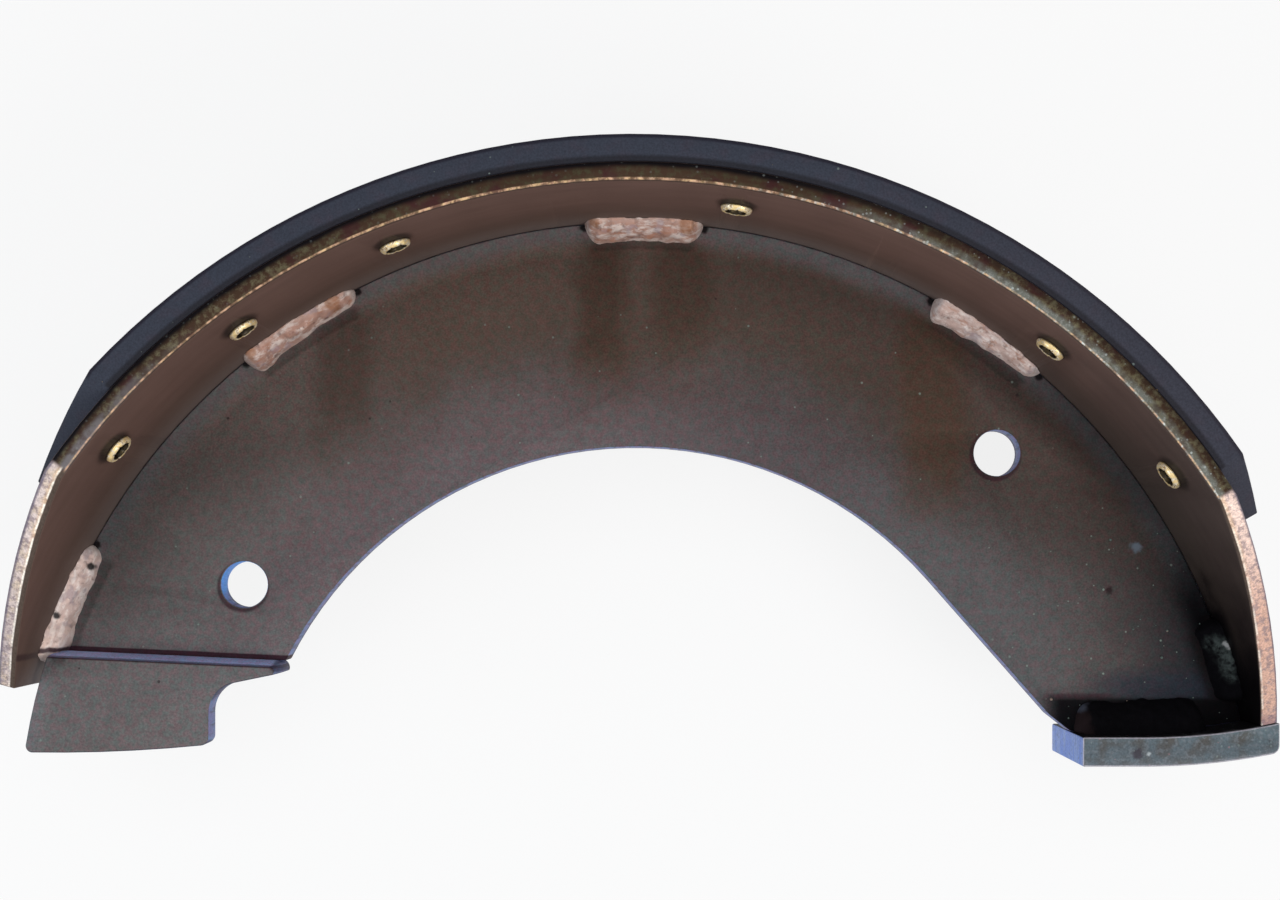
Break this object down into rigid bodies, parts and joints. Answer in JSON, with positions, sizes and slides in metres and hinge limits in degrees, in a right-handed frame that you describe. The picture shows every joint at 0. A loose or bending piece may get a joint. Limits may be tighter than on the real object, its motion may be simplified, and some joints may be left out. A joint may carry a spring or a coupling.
{
  "type": "brake shoe",
  "caption": "Drum brake shoe: a rolled steel rim on a flat web with an offset anchor tongue and a cam plate, carrying a riveted friction lining.",
  "frame": {"origin": "bottom centre of the shoe's box, with the shoe lying on one side; the drum axis runs along Z through X = -1.276 mm, Y = -84.0 mm", "axes": "+X from the anchor tongue towards the cam plate, +Y from the drum axis towards the middle of the lining, +Z along the drum axis, up, towards the side that the tongue is offset to"},
  "size_m": [0.282, 0.132, 0.09],
  "materials": {
    "web_steel": "bare rolled plate with mill scale, weld heat stains and a thin oily film",
    "plate_steel": "bare rolled plate with sheared edges",
    "rim_steel": "bare rolled strip with bright worn edges",
    "friction_lining": "moulded blue-grey friction material",
    "rivet_brass": "plain brass, rolled over by a setting tool",
    "weld_metal": "copper-tinted weld metal"
  },
  "bodies": {
    "root": {"web": "web_steel", "rim": "rim_steel", "lining": "friction_lining", "cam_plate": "plate_steel", "rivet_upper_1": "rivet_brass", "rivet_upper_2": "rivet_brass", "rivet_upper_3": "rivet_brass", "rivet_upper_4": "rivet_brass", "rivet_upper_5": "rivet_brass", "rivet_upper_6": "rivet_brass", "rivet_lower_1": "rivet_brass", "rivet_lower_2": "rivet_brass", "rivet_lower_3": "rivet_brass", "rivet_lower_4": "rivet_brass", "rivet_lower_5": "rivet_brass", "rivet_lower_6": "rivet_brass", "weld_anchor_upper": "weld_metal", "weld_anchor_lower": "weld_metal", "weld_left_upper": "weld_metal", "weld_left_lower": "weld_metal", "weld_top_upper": "weld_metal", "weld_top_lower": "weld_metal", "weld_right_upper": "weld_metal", "weld_right_lower": "weld_metal", "weld_cam_upper": "weld_metal", "weld_cam_lower": "weld_metal", "weld_cam_plate_upper": "weld_metal", "weld_cam_plate_lower": "weld_metal"}
  },
  "joints": []
}
